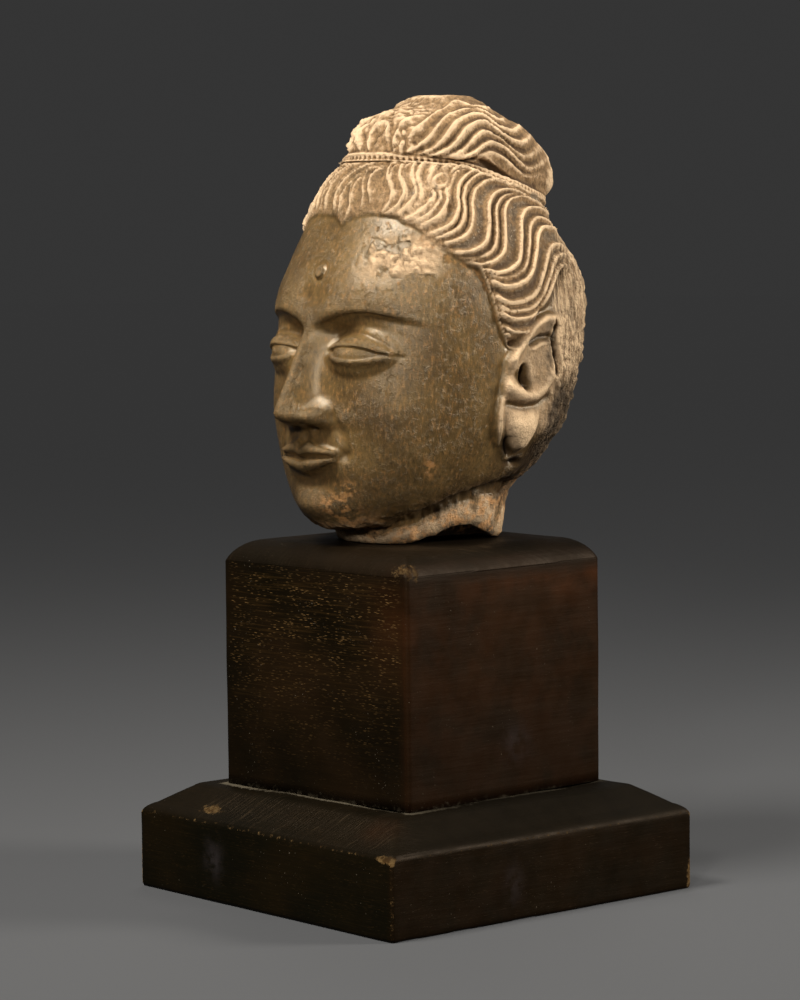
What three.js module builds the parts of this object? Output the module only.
// Carved stone head on a two-piece stained wood plinth.
// Millimetres, +Z up, origin at the middle of the plinth's underside. The face looks along -Y.

import * as THREE from 'three';
import { mergeVertices } from 'three/addons/utils/BufferGeometryUtils.js';

// ---- plinth sizes ----
const SLAB_HALF = 100;
const SLAB_SIDE_HEIGHT = 40.2;
const SLAB_TOP = 54.1;
const SLAB_EDGE = 1.6;
const BLOCK_FOOT_HALF = 67.6;
const BLOCK_ARRIS_HALF = 65.8;
const BLOCK_TOP_HALF = 51;
const BLOCK_ARRIS_HEIGHT = 168.6;
const BLOCK_TOP = 179.4;
const BLOCK_TURN = THREE.MathUtils.degToRad(3);
const JOINT_GAP = 0.3;

// ---- head sizes; heights are above the plinth's top ----
const COLUMNS = 78;
const ROWS = 60;
const HEAD_FOOT = BLOCK_TOP + JOINT_GAP;
const MEAN_RADIUS = 67;
const CHIN_LINE = 20;
const MOUTH_LINE = 45;
const NOSE_BASE = 61;
const EYE_LINE = 97;
const BROW_LINE = 111;
const URNA_LINE = 136;
const EYE_OUT = 28;
const EYE_HALF = 15.5;
const MOUTH_HALF = 20;
const NOSE_RISE = 19;
const HAIR_RISE = 2;
const LOCK_RISE = 2.2;
const SWEEP = 34;
const NECK_ARCH = 9;
const EAR_LEVEL = 93;
const EAR_MID = 20;
const EAR_LEAN = 0.24;
const LOBE_LEVEL = 57;
const LOBE_MID = 13;
const TOPKNOT_LOCK = 11;

// Level lines of the head from the underside's middle to the topknot's middle. way is the
// distance along the skin; front, side and back are [reach, height]; mid is where it is
// widest, and square is how square the front and back halves are (2 is an ellipse).
const SECTIONS = [
  { way: -38, front: [4, 9], side: [2, 9], back: [12, 9], mid: 8, square: [2, 2] },
  { way: -9, front: [-24, 6], side: [30, 6], back: [38, 7], mid: 8, square: [2, 2] },
  { way: 0, front: [-34, 0], side: [38, 0], back: [46, 3], mid: 8, square: [2, 2] },
  { way: 12, front: [-42, 7], side: [42, 22], back: [51, 20], mid: 8, square: [2, 2.1] },
  { way: 34, front: [-54, 10], side: [54, 34], back: [60, 33], mid: 9, square: [2, 2.3] },
  { way: 46, front: [-62, 20], side: [60, 44], back: [66, 43], mid: 9, square: [2, 2.4] },
  { way: 64, front: [-65, 40], side: [66, 59], back: [72, 57], mid: 10, square: [2.1, 2.6] },
  { way: 98, front: [-65, 74], side: [69.5, 86], back: [80, 88], mid: 12, square: [2.15, 2.9] },
  { way: 134, front: [-63, 109], side: [70, 114], back: [83, 120], mid: 13, square: [2.2, 3] },
  { way: 156, front: [-59, 131], side: [66.5, 136], back: [79, 139], mid: 13, square: [2.25, 2.9] },
  { way: 184, front: [-46, 158], side: [57.5, 160], back: [70, 157], mid: 15, square: [2.3, 2.5] },
  { way: 206, front: [-34.5, 178], side: [50, 173], back: [72, 165], mid: 21, square: [2.2, 2.2] },
  { way: 218, front: [-28, 189], side: [46, 182], back: [77, 170], mid: 26, square: [2, 2] },
  { way: 228, front: [-28, 196], side: [46, 189], back: [82, 176], mid: 26, square: [2, 2] },
  { way: 242, front: [-21, 208], side: [43, 203], back: [78, 194], mid: 26, square: [2, 2] },
  { way: 260, front: [-6, 218], side: [31, 216], back: [62, 210], mid: 27, square: [2, 2] },
  { way: 276, front: [9, 223], side: [17, 223], back: [44, 220], mid: 26, square: [2, 2] },
  { way: 292, front: [24, 224], side: [1, 224], back: [26, 224], mid: 25, square: [2, 2] },
];
const FOOT_WAY = 0;
const BAND_WAY = 222;
const TOP_WAY = 292;

const rad = THREE.MathUtils.degToRad;
const smooth = (from, to, x) => {
  const t = THREE.MathUtils.clamp((x - from) / (to - from), 0, 1);
  return t * t * (3 - 2 * t);
};
const bell = (x, width) => Math.exp(-((x / width) ** 2));
const spot = (dx, dz, wide, high) => Math.exp(-((dx / wide) ** 2) - ((dz / high) ** 2));

// One number of the sections at a distance along the skin, as a smooth curve through them.
function along(way, pick) {
  const last = SECTIONS.length - 1;
  let i = 0;
  while (i < last - 1 && way > SECTIONS[i + 1].way) i++;
  const slope = (k) => {
    const low = SECTIONS[Math.max(k - 1, 0)];
    const high = SECTIONS[Math.min(k + 1, last)];
    return (pick(high) - pick(low)) / (high.way - low.way);
  };
  const step = SECTIONS[i + 1].way - SECTIONS[i].way;
  const t = THREE.MathUtils.clamp((way - SECTIONS[i].way) / step, 0, 1);
  const a = pick(SECTIONS[i]);
  const b = pick(SECTIONS[i + 1]);
  const bend = t * (1 - t) * step * (slope(i) * (1 - t) - slope(i + 1) * t);
  return a + (b - a) * t * t * (3 - 2 * t) + bend;
}

// The plain skin without carving: turn is 0 at the face and grows towards the head's left.
function skin(turn, way) {
  const c = Math.cos(turn);
  const s = Math.sin(turn);
  const mid = along(way, (k) => k.mid);
  const wide = Math.max(along(way, (k) => k.side[0]), 0.01);
  const isFront = c > 0;
  const reach = isFront ? mid - along(way, (k) => k.front[0]) : along(way, (k) => k.back[0]) - mid;
  const n = along(way, (k) => (isFront ? k.square[0] : k.square[1]));
  const deep = Math.max(reach, 0.01);
  const r = ((Math.abs(s) / wide) ** n + (Math.abs(c) / deep) ** n) ** (-1 / n);
  const hFront = along(way, (k) => k.front[1]);
  const hSide = along(way, (k) => k.side[1]);
  const hBack = along(way, (k) => k.back[1]);
  const mean = (hFront + hBack) / 4 + hSide / 2;
  const tilt = (hFront - hBack) / 2;
  const saddle = (hFront + hBack) / 4 - hSide / 2;
  return new THREE.Vector3(r * s, mid - r * c, mean + tilt * c + saddle * Math.cos(2 * turn));
}

function skinNormal(turn, way) {
  const step = 0.01;
  const round = skin(turn + step, way).sub(skin(turn - step, way));
  const up = skin(turn, way + 0.5).sub(skin(turn, way - 0.5));
  return round.cross(up).normalize();
}

// Where the locks start: level over the forehead with a small tuft in the middle, falling to
// a point before the ear.
function lockStart(turn) {
  const side = Math.abs(turn);
  const temple = 34 * smooth(rad(20), rad(78), side) ** 1.3;
  const point = 43 * smooth(rad(70), rad(85), side);
  return 190 - temple - point - 5 * bell(turn - rad(3), rad(5));
}

// The hair's lower edge follows the locks' start, and rises again over the ear.
function hairEdge(turn) {
  const side = Math.abs(turn);
  return lockStart(turn) + 22 * smooth(rad(87), rad(100), side) + 18 * smooth(rad(101), rad(116), side);
}

// How far a lock has swept round the head after rising this far from the hair's edge:
// fast at the edge, upright in the middle and fast again before the band.
function lockSweep(rise) {
  const t = THREE.MathUtils.clamp(rise / 60, 0, 1);
  return SWEEP * (t + 0.13 * Math.sin(4 * Math.PI * t));
}

function sweepShare(turn) {
  const side = Math.abs(turn);
  return smooth(rad(3), rad(40), side) * (1 - smooth(rad(105), rad(175), side)) * Math.sign(turn);
}

function hairAt(turn, way) {
  const side = Math.abs(turn);
  const edge = smooth(-1, 2, way - hairEdge(turn));
  const behind = 1 - smooth(rad(118), rad(140), side);
  return edge * behind * (1 - smooth(BAND_WAY - 4, BAND_WAY, way));
}

// Nose, brows, eyes, lips, chin and cheeks on plain thirds; x is across, h is height.
function faceRise(x, h) {
  const side = Math.abs(x);
  return noseRise(side, h) + eyeRise(side, h) + mouthRise(side, h) + chinRise(side, h)
    + 1.4 * spot(x, h - URNA_LINE, 3.5, 3.5);
}

function noseRise(side, h) {
  const down = THREE.MathUtils.clamp((BROW_LINE - h) / (BROW_LINE - NOSE_BASE), 0, 1);
  const length = smooth(BROW_LINE + 9, BROW_LINE - 12, h) * smooth(NOSE_BASE - 3, NOSE_BASE + 4, h);
  const ridge = NOSE_RISE * (0.3 + 0.7 * down) * length * bell(side, 5 + 6.5 * down * down);
  const wing = 6.5 * spot(side - 11, h - NOSE_BASE - 5, 5, 5.5);
  const flank = 5 * down * length * bell(side, 17);
  return ridge + wing + flank;
}

function eyeRise(side, h) {
  const arch = BROW_LINE - 4 + 8 * Math.sin(Math.PI * THREE.MathUtils.clamp((side - 2) / 52, 0, 1));
  const brow = 2.4 * bell(h - arch, 4) * smooth(3, 12, side) * smooth(60, 42, side);
  const socket = -7 * spot(side - 22, h - EYE_LINE - 5, 15, 8.5);
  const off = (side - EYE_OUT) / EYE_HALF;
  const open = Math.max(1 - off * off, 0);
  const ball = 5.5 * Math.sqrt(open) * bell(h - EYE_LINE, 7.5);
  const slit = -1.8 * open * bell(h - EYE_LINE + 1, 2.2);
  return brow + socket + ball + slit;
}

function mouthRise(side, h) {
  const line = MOUTH_LINE + 0.006 * side * side;
  const taper = smooth(MOUTH_HALF + 2, 4, side);
  const upper = 3.6 * taper * bell(h - line - 3.8, 3.2);
  const lower = 4 * taper * bell(h - line + 4.4, 3.8);
  const slit = -2 * bell(h - line, 1.8) * smooth(MOUTH_HALF + 4, MOUTH_HALF - 4, side);
  return 2.6 * spot(side, h - MOUTH_LINE, 24, 14) + upper + lower + slit;
}

function chinRise(side, h) {
  const hollow = -2 * spot(side, h - MOUTH_LINE + 12, 13, 4);
  const chin = 5 * spot(side, h - CHIN_LINE, 17, 10);
  const cheek = 2.4 * spot(side - 40, h - 72, 20, 24);
  return hollow + chin + cheek;
}

// The long ear: a raised plate with a thicker rim and a hollow, and a heavy lobe below it.
function earRise(y, h) {
  const across = y - EAR_MID - EAR_LEAN * (h - EAR_LEVEL);
  const shell = Math.hypot(across / 15, (h - EAR_LEVEL) / 22);
  const plate = 5.5 * smooth(1.18, 0.85, shell);
  const rim = 2.4 * bell(shell - 0.8, 0.2) * smooth(8, -4, across);
  const hollow = -5 * spot(y - 13, h - EAR_LEVEL + 9, 4.5, 9);
  const lobe = 6 * smooth(1.25, 0.7, Math.hypot((y - LOBE_MID) / 11, (h - LOBE_LEVEL) / 17));
  return Math.max(plate + rim + hollow * smooth(1.1, 0.9, shell), lobe);
}

// The tie is a step between two grooves; above it the gathered hair winds round in waves.
function topknotRise(turn, way) {
  const tie = -2.6 * bell(way - BAND_WAY - 5, 2.4) + 1 * bell(way - BAND_WAY + 1, 2.4);
  const share = smooth(BAND_WAY + 7, BAND_WAY + 14, way) * smooth(TOP_WAY - 3, TOP_WAY - 24, way);
  const wave = 0.28 * Math.sin(3 * turn - 0.6) * Math.sin(turn) ** 2;
  const winding = (way - BAND_WAY) / TOPKNOT_LOCK - turn / Math.PI + wave;
  return tie + share * 1.5 * Math.cos(2 * Math.PI * winding);
}

// The neck is broken off: its rim lifts in an arch on the head's left and a little on its right.
function neckLift(turn) {
  const left = Math.sin(Math.PI * THREE.MathUtils.clamp((turn - rad(20)) / rad(120), 0, 1));
  const right = Math.sin(Math.PI * THREE.MathUtils.clamp((-turn - rad(30)) / rad(110), 0, 1));
  return NECK_ARCH * left ** 2 + 0.5 * NECK_ARCH * right ** 2;
}

// The back was left rough and nearly flat, with upright chisel furrows.
function backRise(turn, way) {
  const share = smooth(rad(125), rad(145), Math.abs(turn)) * smooth(30, 50, way);
  return share * (1 - smooth(180, 200, way)) * 1.2 * Math.sin(turn * 40 + way * 0.05);
}

function headPoint(columnTurn, way, column) {
  const sweep = lockSweep(way - lockStart(columnTurn)) * sweepShare(columnTurn);
  const fade = 1 - smooth(BAND_WAY, TOP_WAY, way);
  const turn = columnTurn + (sweep / MEAN_RADIUS) * fade;
  const p = skin(turn, way);
  const front = smooth(rad(88), rad(60), Math.abs(turn)) * smooth(20, 40, way);
  const hair = hairAt(turn, way);
  const locks = column % 2 === 0 ? LOCK_RISE : 0;
  const ear = earRise(p.y, p.z) * smooth(45, 58, Math.abs(p.x));
  const push = hair * (HAIR_RISE + locks) * (1 - smooth(1, 5, ear)) + ear
    + backRise(turn, way) + topknotRise(turn, way);
  const bare = front * (1 - hair);
  const rise = faceRise(p.x, p.z) * bare;
  const n = skinNormal(turn, way);
  const inner = smooth(-38, FOOT_WAY, way);
  const lift = way < 30 ? neckLift(turn) * inner * smooth(30, 4, way) : 0;
  p.addScaledVector(n, push);
  p.y -= rise;
  p.z += lift;
  return p;
}

// Places between two ends, spaced closer where density is higher.
function spread(count, from, to, density) {
  const fine = 2000;
  const sum = [0];
  for (let i = 0; i < fine; i++) {
    sum.push(sum[i] + density(from + ((to - from) * (i + 0.5)) / fine));
  }
  const places = [];
  let k = 0;
  for (let j = 0; j <= count; j++) {
    const target = (sum[fine] * j) / count;
    while (k < fine - 1 && sum[k + 1] < target) k++;
    const part = (target - sum[k]) / (sum[k + 1] - sum[k]);
    places.push(from + ((to - from) * (k + part)) / fine);
  }
  return places;
}

function headGeometry() {
  const turnDensity = (a) => 0.6 + 1.1 * bell(a, rad(38)) + 0.4 * bell(Math.abs(a) - rad(60), rad(30))
    + 1.1 * bell(Math.abs(a) - rad(97), rad(16));
  const wayDensity = (w) => 0.8 + 1.5 * bell(w - 76, 22) + 1.9 * bell(w - 122, 14) + 1.1 * bell(w - 214, 40);
  const turns = spread(COLUMNS, -Math.PI, Math.PI, turnDensity);
  const ways = spread(ROWS, SECTIONS[0].way, TOP_WAY, wayDensity);
  const shape = new THREE.SphereGeometry(1, COLUMNS, ROWS);
  const place = shape.attributes.position;
  for (let row = 0; row <= ROWS; row++) {
    for (let edge = 0; edge <= COLUMNS; edge++) {
      const column = edge % COLUMNS;
      const isPole = row === 0 || row === ROWS;
      const p = headPoint(isPole ? 0 : turns[column], ways[ROWS - row], isPole ? 0 : column);
      place.setXYZ(row * (COLUMNS + 1) + edge, p.x, p.y, p.z);
    }
  }
  return closed(shape);
}

function closed(shape) {
  shape.deleteAttribute('normal');
  shape.deleteAttribute('uv');
  const merged = mergeVertices(shape, 1e-3);
  merged.computeVertexNormals();
  return merged;
}

// A square pier with rounded corners: profile holds [half width, height] from foot to top.
function pier(profile, corner) {
  const half = profile[0][0];
  const straight = half - corner;
  const outline = new THREE.Shape();
  outline.absarc(straight, straight, corner, 0, Math.PI / 2);
  outline.absarc(-straight, straight, corner, Math.PI / 2, Math.PI);
  outline.absarc(-straight, -straight, corner, Math.PI, 1.5 * Math.PI);
  outline.absarc(straight, -straight, corner, 1.5 * Math.PI, 2 * Math.PI);
  const steps = profile.length - 1;
  const settings = { depth: steps, steps, bevelEnabled: false, curveSegments: 3 };
  const shape = new THREE.ExtrudeGeometry(outline, settings);
  const place = shape.attributes.position;
  for (let i = 0; i < place.count; i++) {
    const [width, height] = profile[Math.round(place.getZ(i))];
    const scale = width / half;
    place.setXYZ(i, place.getX(i) * scale, place.getY(i) * scale, height);
  }
  return closed(shape);
}

function slabGeometry() {
  const profile = [
    [SLAB_HALF - SLAB_EDGE, 0],
    [SLAB_HALF, SLAB_EDGE],
    [SLAB_HALF, SLAB_SIDE_HEIGHT - SLAB_EDGE],
    [SLAB_HALF - SLAB_EDGE, SLAB_SIDE_HEIGHT + 0.3],
    [BLOCK_FOOT_HALF + 5, SLAB_TOP - 1.9],
    [BLOCK_FOOT_HALF + 1.5, SLAB_TOP],
  ];
  return pier(profile, 3);
}

function blockGeometry() {
  const profile = [
    [BLOCK_FOOT_HALF, SLAB_TOP + JOINT_GAP],
    [BLOCK_ARRIS_HALF + 0.2, BLOCK_ARRIS_HEIGHT - 4],
    [BLOCK_ARRIS_HALF - 1.2, BLOCK_ARRIS_HEIGHT],
  ];
  const chamferSteps = 4;
  for (let i = 1; i <= chamferSteps; i++) {
    const quarter = (i / chamferSteps) * (Math.PI / 2);
    const inset = (BLOCK_ARRIS_HALF - 1.2 - BLOCK_TOP_HALF) * (1 - Math.cos(quarter));
    const rise = (BLOCK_TOP - BLOCK_ARRIS_HEIGHT) * Math.sin(quarter);
    profile.push([BLOCK_ARRIS_HALF - 1.2 - inset, BLOCK_ARRIS_HEIGHT + rise]);
  }
  return pier(profile, 3);
}

function piece(name, geometry, color, roughness) {
  const material = new THREE.MeshStandardMaterial({ color, roughness, metalness: 0 });
  const mesh = new THREE.Mesh(geometry, material);
  mesh.name = name;
  return mesh;
}

const object = new THREE.Group();

const slab = piece('plinth_base', slabGeometry(), '#1a130d', 0.45);
object.add(slab);

const block = piece('plinth_block', blockGeometry(), '#23160e', 0.4);
block.rotation.z = BLOCK_TURN;
object.add(block);

const head = piece('head', headGeometry(), '#8c7350', 0.55);
head.position.z = HEAD_FOOT;
object.add(head);

export default object;
